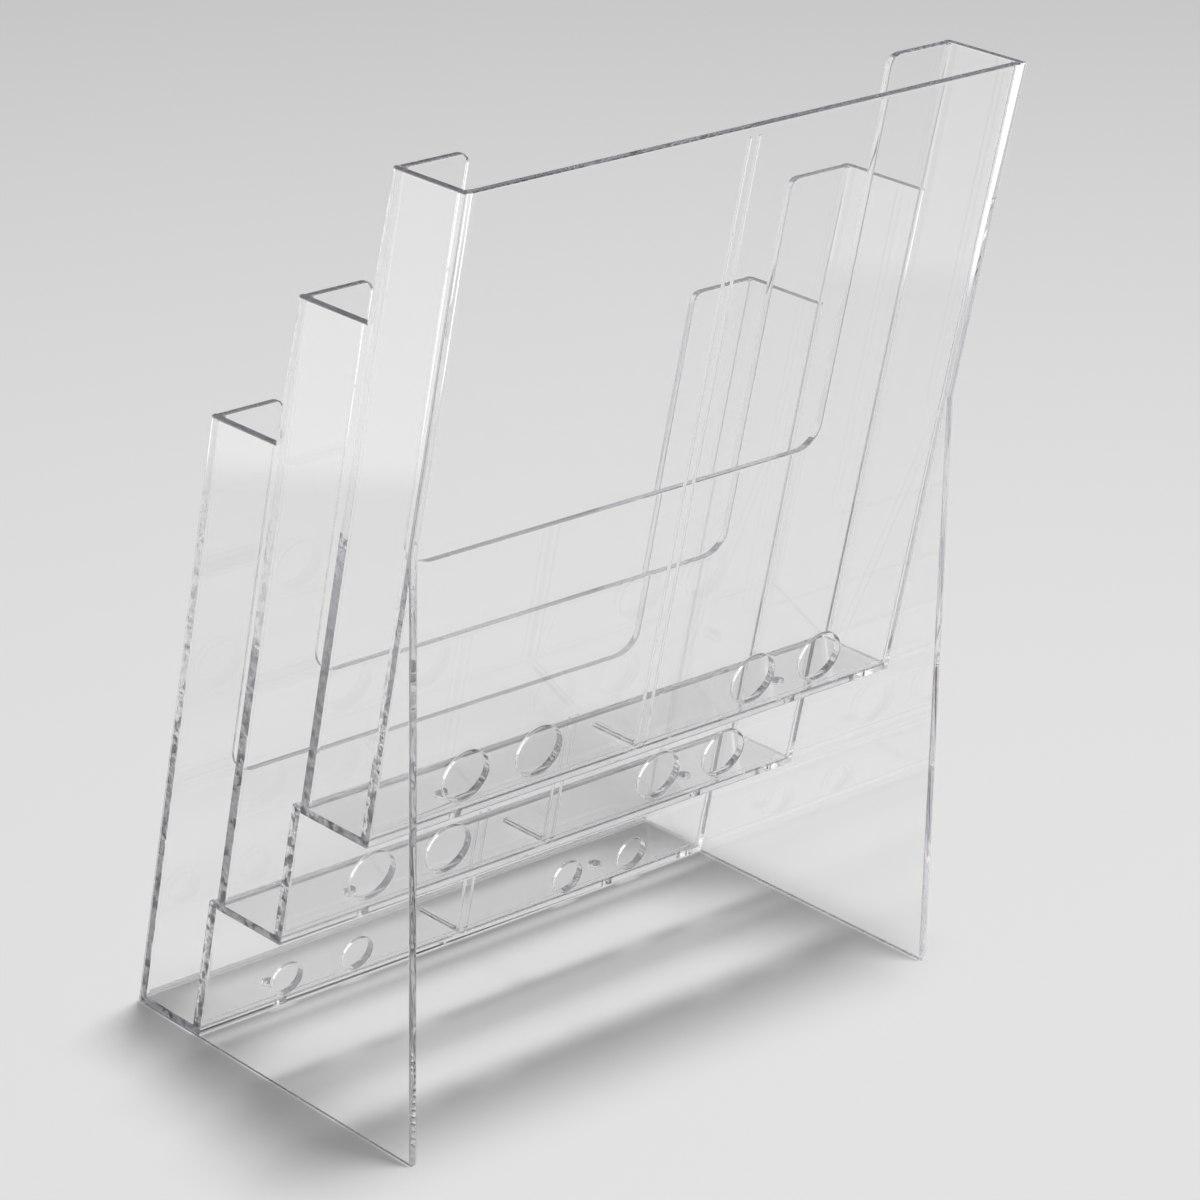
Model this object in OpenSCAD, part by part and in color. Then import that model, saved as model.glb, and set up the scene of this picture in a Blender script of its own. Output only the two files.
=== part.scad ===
// Three-tier magazine rack of clear sheet. Two side panels carry three leaning pockets, one above
// and behind the other. X runs across the rack, Y from front to back and Z up; the origin is on
// the ground, under the middle of the rack.

/* [Overall] */
// Width over the two side panels
outer_w = 240; // [180:1:360]
// Height of each pocket, from the underside of its floor to its mouth
pocket_h = 234; // [190:1:300]
// Rise from one tier to the next
tier_rise = 53.5; // [40:0.5:75]
// Clear depth of a pocket from front to back, measured level
pocket_gap = 30; // [20:1:45]
// Lean of the walls back from upright, in degrees
lean = 12; // [8:0.5:16]
// Height of the upright rear edge of the side panels, from the ground
leg_h = 217; // [120:1:260]

/* [Sheet] */
// Thickness of every panel
sheet = 3; // [2:0.5:5]

/* [Pocket fronts] */
// Width of the upright lips, from the outside of the rack
lip_w = 29.5; // [20:0.5:45]
// Height of the low middle of each pocket front, from the underside of its floor
low_h = 88; // [60:1:120]
// Radius of the lower corners of the cut-out
cut_r = 9; // [4:0.5:15]
// Radius of the inner top corner of each lip
lip_r = 4; // [2:0.5:8]

/* [Fixing holes] */
// Diameter of the holes in the back panel and the upper riser
hole_d = 19; // [8:0.5:24]
// Plain sheet left between a floor and the edge of these holes
hole_clear = 3.5; // [2:0.5:8]
// Diameter of the holes in the lower riser
low_hole_d = 13; // [6:0.5:18]
// Plain sheet left between the front floor and the edge of these holes
low_hole_clear = 1.5; // [1:0.5:8]
// Distance of the outer holes from the middle of the rack
hole_outer_x = 80; // [66:0.5:84]
// Distance of the inner holes from the middle of the rack
hole_inner_x = 48.5; // [16:0.5:54]

/* [Drain holes] */
// Diameter of the two drain holes in each floor
drain_d = 5; // [3:0.5:8]
// Distance of a drain hole from the middle of the rack
drain_x = 76; // [60:0.5:84]
// Distance of a drain hole behind the front edge of its floor
drain_y = 20.5; // [12:0.5:24]

/* [Divider fittings] */
// Clear width between the two strips of a divider guide
guide_gap = 3; // [2:0.5:5]
// Width of one guide strip
guide_w = 1; // [0.8:0.1:2]
// Depth of one guide strip
guide_t = 0.8; // [0.5:0.1:2]
// Distance that the tall guide stops below the mouth of the rear pocket
guide_stop = 4; // [2:1:20]
// Width of the rib on each floor that steadies a divider's foot
rib_w = 2.4; // [1.5:0.1:4]
// Height of that rib
rib_h = 1.6; // [1:0.1:3]
// Gap left between the pocket front and the rib behind it
rib_front = 7; // [4:0.5:14]
// Gap left between the rib and the guide behind it
rib_clear = 2; // [0.5:0.1:4]

/* [Hidden] */
slope = tan(lean);                       // how far a wall moves back for each millimetre up
sheet_y = sheet / cos(lean);             // thickness of a leaning panel, measured level
guide_y = guide_t / cos(lean);           // depth of a guide strip, measured level
tier_y = pocket_gap + 2 * sheet_y;       // level distance from one pocket front to the next
inner_w = outer_w - 2 * sheet;           // clear width between the side panels
total_h = 2 * tier_rise + pocket_h;
total_d = 3 * tier_y + slope * total_h;
foot_l = 3 * tier_y + slope * leg_h;     // length of the side panels along the ground
cut_w = outer_w - 2 * lip_w;             // width of the cut-out between the lips
cut_out = 20;                            // how far a cutting tool runs past the sheet
CLEAR = [0.86, 0.89, 0.90, 0.35];
$fn = 64;

// Height of the underside of a tier's floor, and of its mouth; tiers count from 0 at the front
function floor_z(tier) = tier * tier_rise;
function mouth_z(tier) = floor_z(tier) + pocket_h;
// Height of the top of the riser behind a tier, level with the top of the next floor
function riser_top(tier) = floor_z(tier + 1) + sheet;
// A point at height z on the front face of a tier's pocket front
function front_point(tier, z) = [tier * tier_y + slope * z, z];

// Stands a (Y, Z) outline up, w wide about the middle of the rack, with the rack centred in depth
module across(w) {
    translate([0, -total_d / 2, 0]) rotate([90, 0, 90]) linear_extrude(w, center = true) children();
}

// A leaning strip from z0 to z1 whose rear face lies at rear_y at ground level
module leaning(rear_y, depth_y, z0, z1, w) {
    across(w) polygon([
        [rear_y - depth_y + slope * z0, z0],
        [rear_y + slope * z0, z0],
        [rear_y + slope * z1, z1],
        [rear_y - depth_y + slope * z1, z1],
    ]);
}

// The flat outline of both side panels: three pockets in steps, then the leg down to the ground
module side_outline() {
    steps = [for (tier = [0:2], edge = [tier, tier + 1]) front_point(edge, mouth_z(tier))];
    polygon([[0, 0], each steps, [foot_l, leg_h], [foot_l, 0]]);
}

module side_panel(side) {
    color(CLEAR) translate([side * (outer_w - sheet) / 2, 0, 0]) across(sheet) side_outline();
}

module pocket_floor(tier) {
    z0 = floor_z(tier);
    color(CLEAR) difference() {
        leaning((tier + 1) * tier_y, tier_y, z0, z0 + sheet, inner_w);
        for (side = [-1, 1])
            translate([side * drain_x, tier * tier_y + slope * z0 + drain_y - total_d / 2, z0 - cut_out / 2])
                cylinder(d = drain_d, h = sheet + cut_out);
    }
}

// The cut-out of a pocket front, drawn across (X) and up from the low edge (Y)
module cut_outline(h) {
    translate([-cut_w / 2, cut_r]) square([cut_w, h - cut_r + cut_out]);
    translate([cut_r - cut_w / 2, 0]) square([cut_w - 2 * cut_r, cut_r]);
    for (side = [-1, 1]) {
        translate([side * (cut_w / 2 - cut_r), cut_r]) circle(cut_r);
        translate([side * (cut_w + lip_r) / 2, h - lip_r / 2]) difference() {
            square(lip_r, center = true);
            translate([side * lip_r / 2, -lip_r / 2]) circle(lip_r);
        }
    }
}

// A pocket front stands on its floor, with its front face over the floor's front edge
module pocket_wall(tier) {
    z0 = floor_z(tier);
    color(CLEAR) difference() {
        leaning(tier * tier_y + sheet_y, sheet_y, z0 + sheet, mouth_z(tier), inner_w);
        translate([0, total_d, z0 + low_h]) rotate([90, 0, 0]) linear_extrude(2 * total_d)
            cut_outline(pocket_h - low_h);
    }
}

// Four fixing holes, square to the leaning sheet behind a pocket, at a clearance above its floor
module fixing_holes(tier, d, clear) {
    z = floor_z(tier) + sheet + clear + d / 2;
    y = (tier + 1) * tier_y + slope * z - total_d / 2;
    for (x = [-hole_outer_x, -hole_inner_x, hole_inner_x, hole_outer_x])
        translate([x, y, z]) rotate([-90 - lean, 0, 0]) cylinder(d = d, h = cut_out, center = true);
}

// A riser stands on the rear edge of its floor, and the front edge of the next floor is joined to it
module riser(tier, d, clear) {
    color(CLEAR) difference() {
        leaning((tier + 1) * tier_y, sheet_y, floor_z(tier) + sheet, riser_top(tier), inner_w);
        fixing_holes(tier, d, clear);
    }
}

module back_panel() {
    color(CLEAR) difference() {
        leaning(3 * tier_y, sheet_y, floor_z(2) + sheet, mouth_z(2), inner_w);
        fixing_holes(2, hole_d, hole_clear);
    }
}

// Two parallel strips on the front face of the sheet behind a pocket, for the edge of a divider
module divider_guide(tier, top) {
    color(CLEAR) for (side = [-1, 1])
        translate([side * (guide_gap + guide_w) / 2, 0, 0])
            leaning((tier + 1) * tier_y - sheet_y, guide_y, floor_z(tier) + sheet, top, guide_w);
}

// A low rib along the middle of a floor, that ends just before the guide
module floor_rib(tier) {
    z0 = floor_z(tier) + sheet;
    rib_l = pocket_gap - guide_y - rib_clear - rib_front;
    rib_y = tier * tier_y + sheet_y + rib_front + slope * z0;
    color(CLEAR) across(rib_w) translate([rib_y, z0]) square([rib_l, rib_h]);
}

side_panel(1);  // left_side_panel
side_panel(-1);  // right_side_panel
pocket_floor(0);  // front_floor
pocket_floor(1);  // middle_floor
pocket_floor(2);  // rear_floor
pocket_wall(0);  // front_wall
pocket_wall(1);  // middle_wall
pocket_wall(2);  // rear_wall
riser(0, low_hole_d, low_hole_clear);  // lower_riser
riser(1, hole_d, hole_clear);  // upper_riser
back_panel();
divider_guide(0, riser_top(0));  // front_divider_guide
divider_guide(1, riser_top(1));  // middle_divider_guide
divider_guide(2, mouth_z(2) - guide_stop);  // rear_divider_guide
floor_rib(0);  // front_floor_rib
floor_rib(1);  // middle_floor_rib
floor_rib(2);  // rear_floor_rib
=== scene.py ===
import math

import bmesh
import bpy
from mathutils import Euler, Matrix, Vector


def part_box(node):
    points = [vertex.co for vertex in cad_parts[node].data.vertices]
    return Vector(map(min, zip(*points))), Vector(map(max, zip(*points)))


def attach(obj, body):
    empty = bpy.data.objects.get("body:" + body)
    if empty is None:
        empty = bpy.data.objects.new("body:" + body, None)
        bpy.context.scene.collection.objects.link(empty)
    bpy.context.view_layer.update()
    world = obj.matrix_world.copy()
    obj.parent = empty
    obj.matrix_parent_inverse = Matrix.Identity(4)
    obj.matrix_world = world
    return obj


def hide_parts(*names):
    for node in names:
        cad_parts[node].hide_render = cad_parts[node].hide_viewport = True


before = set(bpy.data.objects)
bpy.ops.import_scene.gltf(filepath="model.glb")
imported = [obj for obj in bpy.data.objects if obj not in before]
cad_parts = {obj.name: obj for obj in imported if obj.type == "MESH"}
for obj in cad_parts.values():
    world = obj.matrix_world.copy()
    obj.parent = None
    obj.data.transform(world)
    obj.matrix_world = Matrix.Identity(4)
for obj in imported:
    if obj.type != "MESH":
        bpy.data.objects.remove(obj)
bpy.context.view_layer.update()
MM = 0.001

# ---------------------------------------------------------------------------------------------
# Camera. A long lens looks down on the back of the rack from behind its left side, turned about
# one degree off level.
VIEW_AZIMUTH = math.radians(138.56)
VIEW_ELEVATION = math.radians(22.28)
VIEW_ROLL = math.radians(1.02)
VIEW_DISTANCE = 1.524
VIEW_TARGET = Vector((0, 0.0180, 0.1568))
VIEW_LENS = 134.4

lens = bpy.data.cameras.new("camera")
lens.sensor_width = 36
lens.lens = VIEW_LENS
lens.clip_start = 0.05
camera = bpy.data.objects.new("camera", lens)
bpy.context.collection.objects.link(camera)
back = Vector((math.sin(VIEW_AZIMUTH) * math.cos(VIEW_ELEVATION),
               -math.cos(VIEW_AZIMUTH) * math.cos(VIEW_ELEVATION),
               math.sin(VIEW_ELEVATION)))
camera.location = VIEW_TARGET + VIEW_DISTANCE * back
camera.rotation_mode = "QUATERNION"
camera.rotation_quaternion = back.to_track_quat("Z", "Y") @ Euler((0, 0, VIEW_ROLL)).to_quaternion()
bpy.context.scene.camera = camera

# ---------------------------------------------------------------------------------------------
# Side panels. Two stepped panels of clear plastic sheet that hold everything between them and run
# down behind the pockets as legs. Their outer front corners are well rounded, as on a moulding,
# and every other free edge is only eased.
left_lo, left_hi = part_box("left_side_panel")
floor_lo, floor_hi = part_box("front_floor")
POCKET_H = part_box("front_wall")[1].z
SHEET = left_hi.x - left_lo.x
OUTER_X = left_hi.x
INNER_X = left_lo.x
TOTAL_H = left_hi.z
FRONT_Y = left_lo.y
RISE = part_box("middle_floor")[0].z - floor_lo.z
FLOOR_D = floor_hi.y - floor_lo.y
LEAN = (left_hi.y - left_lo.y - 3 * FLOOR_D) / (TOTAL_H - 3 * SHEET)
TIER_Y = FLOOR_D - LEAN * SHEET
SHEET_Y = SHEET * math.hypot(1, LEAN)
LEG_H = 217 * MM
JOIN = 0.02 * MM
CORNER_R = 2.6 * MM
EASE = 0.6 * MM
LONG_EDGE = 20 * MM


def front_line(tier, z):
    """Where the front face of a tier's pocket lies at height z."""
    return FRONT_Y + tier * TIER_Y + LEAN * z


def mend(piece):
    """Merges points that fell together and turns every face outwards."""
    bpy.ops.object.mode_set(mode="EDIT")
    bpy.ops.mesh.select_mode(type="VERT")
    bpy.ops.mesh.select_all(action="SELECT")
    bpy.ops.mesh.remove_doubles(threshold=0.001 * MM)
    bpy.ops.mesh.normals_make_consistent(inside=False)
    bpy.ops.object.mode_set(mode="OBJECT")


def draw_outline(name, points):
    """Draws a flat face: one corner, extruded from point to point round the outline and filled."""
    bpy.ops.object.select_all(action="DESELECT")
    bpy.ops.mesh.primitive_plane_add(size=MM, location=points[0])
    piece = bpy.context.object
    piece.name = name
    bpy.ops.object.transform_apply(location=True, rotation=True, scale=True)
    bpy.ops.object.mode_set(mode="EDIT")
    bpy.ops.mesh.select_mode(type="VERT")
    bpy.ops.mesh.select_all(action="SELECT")
    bpy.ops.mesh.merge(type="CENTER")
    for here, there in zip(points, points[1:]):
        step = Vector(there) - Vector(here)
        bpy.ops.mesh.extrude_region_move(TRANSFORM_OT_translate={"value": step})
    bpy.ops.mesh.select_all(action="SELECT")
    bpy.ops.mesh.edge_face_add()
    return piece


def thicken(step):
    """Gives the flat face that is being edited its thickness."""
    bpy.ops.mesh.select_all(action="SELECT")
    bpy.ops.mesh.extrude_region_move(TRANSFORM_OT_translate={"value": step})
    bpy.ops.mesh.select_all(action="SELECT")
    bpy.ops.mesh.normals_make_consistent(inside=False)


def pick_edges(test):
    """Selects the edges whose two ends, as vectors, pass a test."""
    bpy.ops.mesh.select_mode(type="EDGE")
    bpy.ops.mesh.select_all(action="DESELECT")
    mesh = bmesh.from_edit_mesh(bpy.context.object.data)
    for edge in mesh.edges:
        edge.select_set(bool(test(edge.verts[0].co, edge.verts[1].co)))
    bmesh.update_edit_mesh(bpy.context.object.data)


def pick_faces(test):
    """Selects the faces whose middle and normal pass a test."""
    bpy.ops.mesh.select_mode(type="FACE")
    bpy.ops.mesh.select_all(action="DESELECT")
    mesh = bmesh.from_edit_mesh(bpy.context.object.data)
    for face in mesh.faces:
        face.select_set(bool(test(face.calc_center_median(), face.normal)))
    bmesh.update_edit_mesh(bpy.context.object.data)


def ease(test, width, segments=3):
    """Rounds the edges that pass a test."""
    pick_edges(test)
    bpy.ops.mesh.bevel(offset=width, segments=segments, affect="EDGES")


def near(a, b, reach=0.05 * MM):
    """Whether two lengths agree."""
    return abs(a - b) < reach


def feed(tree, source, socket):
    """Gives a socket another node's output, or a plain number."""
    if isinstance(source, bpy.types.NodeSocket):
        tree.links.new(source, socket)
    else:
        socket.default_value = source


def reckon(tree, operation, first, second):
    """One step of arithmetic on two sockets or numbers."""
    sums = tree.nodes.new("ShaderNodeMath")
    sums.operation = operation
    feed(tree, first, sums.inputs[0])
    feed(tree, second, sums.inputs[1])
    return sums.outputs["Value"]


def fade(tree, source, start, end, low=0, high=1, curve="LINEAR"):
    """Goes from low to high while a socket goes from start to end."""
    spread = tree.nodes.new("ShaderNodeMapRange")
    spread.interpolation_type = curve
    spread.inputs["From Min"].default_value = start
    spread.inputs["From Max"].default_value = end
    spread.inputs["To Min"].default_value = low
    spread.inputs["To Max"].default_value = high
    tree.links.new(source, spread.inputs["Value"])
    return spread.outputs["Result"]


def axes(tree, space="Object"):
    """The X, Y and Z of a place, each on its own socket."""
    place = tree.nodes.new("ShaderNodeTexCoord")
    apart = tree.nodes.new("ShaderNodeSeparateXYZ")
    tree.links.new(place.outputs[space], apart.inputs["Vector"])
    return apart.outputs


def blotches(tree, scale):
    """Soft blotches, so many to the metre."""
    place = tree.nodes.new("ShaderNodeTexCoord")
    noise = tree.nodes.new("ShaderNodeTexNoise")
    noise.inputs["Scale"].default_value = scale
    noise.inputs["Detail"].default_value = 1
    tree.links.new(place.outputs["Object"], noise.inputs["Vector"])
    return noise.outputs["Fac"]


def relief(tree, height, depth, strength):
    """Bumps of a given depth."""
    bump = tree.nodes.new("ShaderNodeBump")
    bump.inputs["Distance"].default_value = depth
    feed(tree, strength, bump.inputs["Strength"])
    tree.links.new(height, bump.inputs["Height"])
    return bump


WAVES, WAVES_DEPTH, WAVES_STRENGTH = 22, 0.4 * MM, 0.06
SPECKS, SPECKS_DEPTH = 330, 1.6 * MM
SPECKS_TOP, SPECKS_FULL = 220 * MM, 110 * MM
SPOTS_FROM, SPOTS_TO, SPOTS_DARK = 0.50, 0.62, 0.92


def rough_joint(tree, shader, surface):
    """Roughens and spots the left end of a sheet, where it is joined to the side panel, and more
    so low down. The marks lie over the bumps that the surface has already."""
    place = axes(tree)
    at_end = reckon(tree, "GREATER_THAN", place["X"], INNER_X)
    lower = fade(tree, place["Z"], SPECKS_TOP, SPECKS_FULL)
    marked = reckon(tree, "MULTIPLY", at_end, lower)
    specks = blotches(tree, SPECKS)
    rough = relief(tree, specks, SPECKS_DEPTH, marked)
    tree.links.new(surface.outputs["Normal"], rough.inputs["Normal"])
    tree.links.new(rough.outputs["Normal"], shader.inputs["Normal"])
    spots = fade(tree, specks, SPOTS_FROM, SPOTS_TO, 0, SPOTS_DARK)
    shade = reckon(tree, "MULTIPLY", spots, marked)
    tree.links.new(reckon(tree, "SUBTRACT", 1, shade), shader.inputs["Base Color"])


def let_light_fall(tree, shader, out):
    """Lets the light that falls on the floor pass straight through a sheet. A lamp's light loses
    what the two faces would mirror away, all of it where it goes in, so that sheets that it grazes
    throw dark bands."""
    ray = tree.nodes.new("ShaderNodeLightPath")
    side = tree.nodes.new("ShaderNodeNewGeometry")
    mirrored = tree.nodes.new("ShaderNodeFresnel")
    mirrored.inputs["IOR"].default_value = 1.5
    through = tree.nodes.new("ShaderNodeBsdfTransparent")
    either = tree.nodes.new("ShaderNodeMixShader")
    kept = reckon(tree, "SUBTRACT", 1, mirrored.outputs["Fac"])
    twice = reckon(tree, "POWER", kept, 2)
    passed = reckon(tree, "MAXIMUM", twice, side.outputs["Backfacing"])
    lit = reckon(tree, "MAXIMUM", passed, ray.outputs["Is Diffuse Ray"])
    falling = reckon(tree, "MAXIMUM", ray.outputs["Is Shadow Ray"], ray.outputs["Is Diffuse Ray"])
    tree.links.new(lit, through.inputs["Color"])
    tree.links.new(falling, either.inputs["Fac"])
    tree.links.new(shader.outputs["BSDF"], either.inputs[1])
    tree.links.new(through.outputs["BSDF"], either.inputs[2])
    tree.links.new(either.outputs["Shader"], out.inputs["Surface"])


def clear_plastic(name, joined):
    """Clear polished plastic with the faint long waves of a moulding. Light that runs far inside a
    sheet comes out darker and faintly violet at its edges."""
    material = bpy.data.materials.new(name)
    material.use_nodes = True
    tree = material.node_tree
    tree.nodes.clear()
    out = tree.nodes.new("ShaderNodeOutputMaterial")
    shader = tree.nodes.new("ShaderNodeBsdfPrincipled")
    shader.inputs["Base Color"].default_value = (1, 1, 1, 1)
    shader.inputs["Roughness"].default_value = 0.0
    shader.inputs["IOR"].default_value = 1.53
    shader.inputs["Transmission Weight"].default_value = 1.0
    surface = relief(tree, blotches(tree, WAVES), WAVES_DEPTH, WAVES_STRENGTH)
    tree.links.new(surface.outputs["Normal"], shader.inputs["Normal"])
    if joined:
        rough_joint(tree, shader, surface)
    let_light_fall(tree, shader, out)
    body = tree.nodes.new("ShaderNodeVolumeAbsorption")
    body.inputs["Color"].default_value = (0.30, 0.26, 0.36, 1)
    body.inputs["Density"].default_value = 2.7
    tree.links.new(body.outputs["Volume"], out.inputs["Volume"])
    return material


panel_plastic = clear_plastic("clear_plastic", joined=False)
joined_plastic = clear_plastic("joined_plastic", joined=True)


def hand_over(piece, node, plastic):
    """Gives a finished piece smooth curves, flat faces, its plastic and its place in the model."""
    bpy.ops.object.select_all(action="DESELECT")
    piece.select_set(True)
    bpy.context.view_layer.objects.active = piece
    bpy.ops.object.shade_smooth_by_angle(angle=math.radians(32))
    flat = piece.modifiers.new("flat_faces", "WEIGHTED_NORMAL")
    flat.keep_sharp = True
    flat.weight = 100
    bpy.ops.object.modifier_apply(modifier="flat_faces")
    piece.data.materials.clear()
    piece.data.materials.append(plastic)
    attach(piece, "root")
    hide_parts(node)


def on_front(p):
    return any(near(p.y, front_line(tier, p.z)) for tier in range(3))


foot_back = front_line(3, LEG_H)
for node, side in (("left_side_panel", 1), ("right_side_panel", -1)):
    inner = side * INNER_X
    outer = side * OUTER_X
    outline = [(inner, FRONT_Y, 0)]
    for tier in range(3):
        mouth = tier * RISE + POCKET_H
        outline.append((inner, front_line(tier, mouth), mouth))
        outline.append((inner, front_line(tier + 1, mouth), mouth))
    outline.append((inner, foot_back, LEG_H))
    outline.append((inner, foot_back, 0))
    panel = draw_outline("side_panel", outline)
    thicken((outer - inner, 0, 0))
    ease(lambda a, b: near(a.x, outer) and near(b.x, outer) and on_front(a) and on_front(b)
         and abs(b.z - a.z) > LONG_EDGE, CORNER_R, 5)
    ease(lambda a, b: near(a.x, outer, EASE) and near(b.x, outer, EASE)
         and not (on_front(a) and on_front(b)), EASE)
    ease(lambda a, b: near(a.x, inner) and near(b.x, inner)
         and (near(a.z, b.z) or max(a.z, b.z) < LEG_H + MM)
         and not (on_front(a) and on_front(b)), EASE)
    mend(panel)
    hand_over(panel, node, panel_plastic)

# ---------------------------------------------------------------------------------------------
# Floors. Each pocket has a level floor of clear sheet, joined at its ends to the side panels. Its
# long edges are cut to the lean of the walls, and two drain holes are bored near its ends.
DRAIN_R = 2.5 * MM
DRAIN_X = 76 * MM
DRAIN_Y = 20.5 * MM
FLOOR_R = 0.9 * MM
RIM_EASE = 0.4 * MM
HOLE_SIDES = 48
ALONG = 0.3


def bore(piece, place, radius, turn=(0, 0, 0)):
    """Cuts a round hole right through a sheet and eases its two rims. Edges that run along the hole
    stay sharp."""
    if bpy.context.object.mode != "OBJECT":
        bpy.ops.object.mode_set(mode="OBJECT")
    bpy.ops.object.select_all(action="DESELECT")
    bpy.ops.mesh.primitive_cylinder_add(vertices=HOLE_SIDES, radius=radius, depth=5 * SHEET,
                                        location=place, rotation=turn)
    drill = bpy.context.object
    bpy.ops.object.transform_apply(location=True, rotation=True, scale=True)
    cut = piece.modifiers.new("hole", "BOOLEAN")
    cut.object = drill
    cut.solver = "EXACT"
    bpy.ops.object.select_all(action="DESELECT")
    piece.select_set(True)
    bpy.context.view_layer.objects.active = piece
    bpy.ops.object.modifier_apply(modifier="hole")
    bpy.data.objects.remove(drill)
    axis = Euler(turn).to_matrix() @ Vector((0, 0, 1))

    def rim(p):
        arm = Vector(p) - Vector(place)
        return near((arm - arm.dot(axis) * axis).length, radius)

    def goes_round(a, b):
        return abs((b - a).dot(axis)) < ALONG * (b - a).length

    bpy.ops.object.mode_set(mode="EDIT")
    ease(lambda a, b: rim(a) and rim(b) and goes_round(a, b), RIM_EASE)


for tier, node in enumerate(("front_floor", "middle_floor", "rear_floor")):
    z0 = tier * RISE
    z1 = z0 + SHEET
    reach = INNER_X + JOIN
    floor = draw_outline("floor", [(-reach, front_line(tier, z0), z0),
                                   (-reach, front_line(tier + 1, z0), z0),
                                   (-reach, front_line(tier + 1, z1), z1),
                                   (-reach, front_line(tier, z1), z1)])
    thicken((2 * reach, 0, 0))
    ease(lambda a, b: near(a.z, z0) and near(b.z, z0) and abs(a.x - b.x) > MM, FLOOR_R)
    for side in (-1, 1):
        bore(floor, (side * DRAIN_X, front_line(tier, z0) + DRAIN_Y, z0), DRAIN_R)
    mend(floor)
    hand_over(floor, node, joined_plastic)

# ---------------------------------------------------------------------------------------------
# Pocket fronts. Each is a leaning clear sheet whose wide cut-out leaves two upright lips and a low
# middle. It stands on the floor's front edge between the side panels, and a small cove fills its
# corners with them.
LIP_X = 90.5 * MM
LOW_H = 88 * MM
CUT_R = 9 * MM
LIP_TOP_R = 4 * MM
COVE = 1.1 * MM
COVE_R = 0.96 * COVE


def lean_back(piece, tier):
    """Leans an upright sheet, drawn with its front face at y = 0, to its tier's front line."""
    bpy.ops.object.mode_set(mode="OBJECT")
    shear = Matrix.Identity(4)
    shear[1][2] = LEAN
    shear[1][3] = FRONT_Y + tier * TIER_Y
    piece.data.transform(shear)


def add_cove(face_y, out, low):
    """Raises a narrow strip round the ends and foot of a sheet's face and rounds its inner corner."""
    for place, normal in (((COVE - INNER_X, 0, 0), (1, 0, 0)), ((INNER_X - COVE, 0, 0), (1, 0, 0)),
                          ((0, 0, low + COVE), (0, 0, 1))):
        bpy.ops.mesh.select_all(action="SELECT")
        bpy.ops.mesh.bisect(plane_co=place, plane_no=normal)
    pick_faces(lambda c, n: near(c.y, face_y) and abs(n.y) > 0.9
               and (abs(c.x) > INNER_X - COVE or c.z < low + COVE))
    bpy.ops.mesh.extrude_region_move(TRANSFORM_OT_translate={"value": (0, out * COVE, 0)})

    def corner(p):
        return near(p.y, face_y) and (near(abs(p.x), INNER_X - COVE) or near(p.z, low + COVE))

    def inside(p):
        return p.z > low + COVE / 2 and abs(p.x) < INNER_X - COVE / 2

    ease(lambda a, b: corner(a) and corner(b) and inside(a) and inside(b), COVE_R, 4)


for tier, node in enumerate(("front_wall", "middle_wall", "rear_wall")):
    low = tier * RISE + SHEET
    cut = tier * RISE + LOW_H
    top = tier * RISE + POCKET_H
    reach = INNER_X + JOIN
    wall = draw_outline("wall", [(-reach, 0, low - JOIN), (reach, 0, low - JOIN), (reach, 0, top),
                                 (LIP_X, 0, top), (LIP_X, 0, cut), (-LIP_X, 0, cut),
                                 (-LIP_X, 0, top), (-reach, 0, top)])
    thicken((0, SHEET_Y, 0))
    ease(lambda a, b: near(a.z, cut) and near(b.z, cut) and near(a.x, b.x), CUT_R, 10)
    ease(lambda a, b: near(a.z, top) and near(b.z, top) and near(a.x, b.x)
         and near(abs(a.x), LIP_X), LIP_TOP_R, 8)

    def on_rim(p):
        inside = abs(p.x) < INNER_X - MM and p.z > cut - MM
        return inside or near(p.z, top)

    ease(lambda a, b: on_rim(a) and on_rim(b) and near(a.y, b.y), EASE)
    add_cove(SHEET_Y, 1, low)
    lean_back(wall, tier)
    mend(wall)
    hand_over(wall, node, joined_plastic)

# ---------------------------------------------------------------------------------------------
# Risers and back panel. Two short leaning clear sheets close the lower pockets behind and carry
# the next pocket, and a tall one closes the rear pocket. Each stands on its floor's rear edge and
# has a row of four holes near its foot, drilled square to the sheet.
HOLE_X = (-80 * MM, -48.5 * MM, 48.5 * MM, 80 * MM)
RISER_R = 1.6 * MM
DRILL_TURN = math.pi / 2 - math.atan(LEAN)
# Node, tier, top edge, radius of its holes, plain sheet under them, and lap over the next floor
sheets_behind = (
    ("lower_riser", 0, RISE + SHEET, 6.5 * MM, 1.5 * MM, JOIN),
    ("upper_riser", 1, 2 * RISE + SHEET, 9.5 * MM, 3.5 * MM, JOIN),
    ("back_panel", 2, TOTAL_H, 9.5 * MM, 3.5 * MM, 0),
)
for node, tier, top, radius, clearance, lap in sheets_behind:
    low = tier * RISE + SHEET
    reach = INNER_X + JOIN
    sheet = draw_outline("sheet", [(-reach, -SHEET_Y, low - JOIN), (reach, -SHEET_Y, low - JOIN),
                                   (reach, -SHEET_Y, top), (-reach, -SHEET_Y, top)])
    thicken((0, SHEET_Y + lap, 0))
    if tier == 2:
        ease(lambda a, b: near(a.z, top) and near(b.z, top) and near(a.y, b.y), EASE)
    else:
        ease(lambda a, b: near(a.z, top) and near(b.z, top)
             and near(a.y, -SHEET_Y) and near(b.y, -SHEET_Y), RISER_R, 5)
    add_cove(-SHEET_Y, -1, low)
    lean_back(sheet, tier + 1)
    # The cove ends level with the top edge
    for corner in sheet.data.vertices:
        corner.co.z = min(corner.co.z, top)
    height = low + clearance + radius
    for x in HOLE_X:
        bore(sheet, (x, front_line(tier + 1, height), height), radius, (DRILL_TURN, 0, 0))
    mend(sheet)
    hand_over(sheet, node, joined_plastic)

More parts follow.
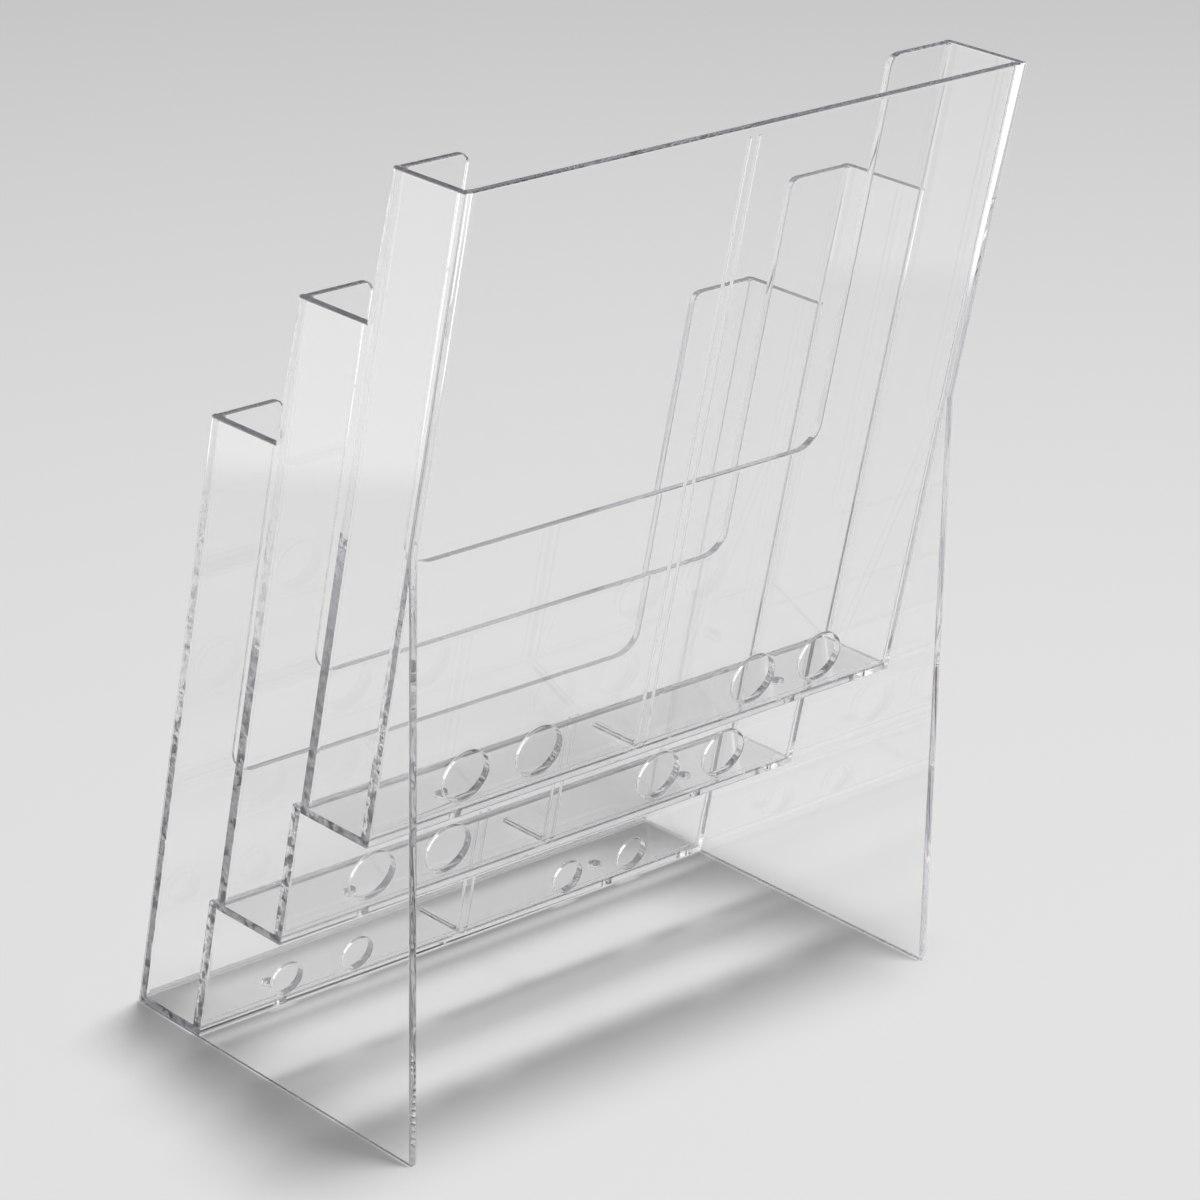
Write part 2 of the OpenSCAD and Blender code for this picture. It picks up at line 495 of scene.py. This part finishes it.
# ---------------------------------------------------------------------------------------------
# Divider guides. Two thin strips of the same plastic stand side by side on the middle of each
# riser and of the back panel, and take the edge of a divider.
GUIDE_X = 1.5 * MM
GUIDE_W = 1 * MM
GUIDE_T = 0.8 * MM * SHEET_Y / SHEET
GUIDE_R = 0.4 * MM
for tier, node in enumerate(("front_divider_guide", "middle_divider_guide", "rear_divider_guide")):
    low = tier * RISE + SHEET
    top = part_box(node)[1].z
    strips = []
    for side in (-1, 1):
        inner = side * GUIDE_X
        outer = side * (GUIDE_X + GUIDE_W)
        strip = draw_outline("guide", [(inner, JOIN - SHEET_Y, low), (outer, JOIN - SHEET_Y, low),
                                       (outer, JOIN - SHEET_Y, top), (inner, JOIN - SHEET_Y, top)])
        thicken((0, -GUIDE_T - JOIN, 0))
        ease(lambda a, b: near(a.y, b.y) and near(a.y, -SHEET_Y - GUIDE_T), GUIDE_R, 4)
        lean_back(strip, tier + 1)
        mend(strip)
        strips.append(strip)
    bpy.ops.object.select_all(action="DESELECT")
    for strip in strips:
        strip.select_set(True)
    bpy.context.view_layer.objects.active = strips[0]
    bpy.ops.object.join()
    hand_over(strips[0], node, panel_plastic)

# ---------------------------------------------------------------------------------------------
# Floor ribs. A low rib of the same plastic runs back along the middle of each floor, just short of
# the guide, and steadies a divider's foot.
RIB_R = 0.5 * MM
for node in ("front_floor_rib", "middle_floor_rib", "rear_floor_rib"):
    rib_lo, rib_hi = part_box(node)
    foot = rib_lo.z - JOIN
    rib = draw_outline("rib", [(rib_lo.x, rib_lo.y, foot), (rib_hi.x, rib_lo.y, foot),
                               (rib_hi.x, rib_hi.y, foot), (rib_lo.x, rib_hi.y, foot)])
    thicken((0, 0, rib_hi.z - rib_lo.z + JOIN))
    ease(lambda a, b: a.z > rib_lo.z + RIB_R and b.z > rib_lo.z + RIB_R, RIB_R)
    mend(rib)
    hand_over(rib, node, panel_plastic)

# ---------------------------------------------------------------------------------------------
# Studio. A floor of pale paper that runs far off, one soft light almost overhead, a bright card to
# one side and a world that is pale overhead.
GROUND_SPAN = 60
GROUND_DROP = 0.2 * MM
bpy.ops.object.select_all(action="DESELECT")
bpy.ops.mesh.primitive_plane_add(size=GROUND_SPAN, location=(0, 0, -GROUND_DROP))
ground = bpy.context.object
ground.name = "ground"
paper = bpy.data.materials.new("paper")
paper.use_nodes = True
matt = paper.node_tree.nodes["Principled BSDF"]
matt.inputs["Base Color"].default_value = (0.80, 0.80, 0.80, 1)
matt.inputs["Roughness"].default_value = 0.9
matt.inputs["Specular IOR Level"].default_value = 0.1
ground.data.materials.append(paper)

KEY_PLACE = Vector((-0.18, 0.354, 3))
KEY_POWER = 58
key = bpy.data.lights.new("overhead", "AREA")
key.shape = "RECTANGLE"
key.size = 0.41
key.size_y = 0.33
key.energy = KEY_POWER
holder = bpy.data.objects.new("overhead", key)
bpy.context.collection.objects.link(holder)
holder.location = KEY_PLACE
holder.rotation_euler = KEY_PLACE.to_track_quat("Z", "Y").to_euler()
holder.visible_camera = False

# A bright card stands on the floor to the left of the view, to be mirrored in the sheets. The camera
# doesn't see it by itself, only in a sheet or through one. It fades to the floor's brightness at its
# foot.
CARD_W, CARD_H = 2.4, 1.0
CARD_FADE = 0.02
CARD_LOW, CARD_HIGH = 0.75, 1.4
CARD_FOOT = Vector((0.505, -0.411, 0))
bpy.ops.object.select_all(action="DESELECT")
bpy.ops.mesh.primitive_plane_add(size=1)
card = bpy.context.object
card.name = "card"
card.scale = (CARD_W, CARD_H, 1)
card.rotation_euler = (math.pi / 2, 0, VIEW_AZIMUTH - math.pi / 2)
card.location = CARD_FOOT + Vector((0, 0, CARD_H / 2))
bpy.ops.object.transform_apply(location=True, rotation=True, scale=True)
glow = bpy.data.materials.new("card_glow")
glow.use_nodes = True
tree = glow.node_tree
tree.nodes.clear()
light = tree.nodes.new("ShaderNodeEmission")
shown = tree.nodes.new("ShaderNodeOutputMaterial")
strength = fade(tree, axes(tree)["Z"], 0, CARD_FADE, CARD_LOW, CARD_HIGH, "SMOOTHSTEP")
tree.links.new(strength, light.inputs["Strength"])
tree.links.new(light.outputs["Emission"], shown.inputs["Surface"])
card.data.materials.append(glow)
card.visible_camera = False
card.visible_diffuse = False
card.visible_shadow = False

# The world is pale overhead and darker towards the horizon, which draws the edges of the sheets.
SKY_LOW, SKY_HIGH = 0.01, 0.41
SKY_FROM, SKY_TO = 0.35, 0.6
world = bpy.data.worlds.new("world")
bpy.context.scene.world = world
world.use_nodes = True
world.cycles.sampling_method = "NONE"
sky = world.node_tree.nodes["Background"]
sky.inputs["Color"].default_value = (1, 1, 1, 1)
upward = axes(world.node_tree, "Generated")["Z"]
climb = fade(world.node_tree, upward, SKY_FROM, SKY_TO, SKY_LOW, SKY_HIGH)
world.node_tree.links.new(climb, sky.inputs["Strength"])

# A ray may cross and run along many sheets before it leaves, so it is followed a long way.
scene = bpy.context.scene
scene.view_settings.view_transform = "Standard"
scene.cycles.max_bounces = 100
scene.cycles.transmission_bounces = 96
scene.cycles.glossy_bounces = 96
scene.cycles.transparent_max_bounces = 48
scene.cycles.blur_glossy = 0
scene.cycles.caustics_refractive = False
scene.cycles.caustics_reflective = False
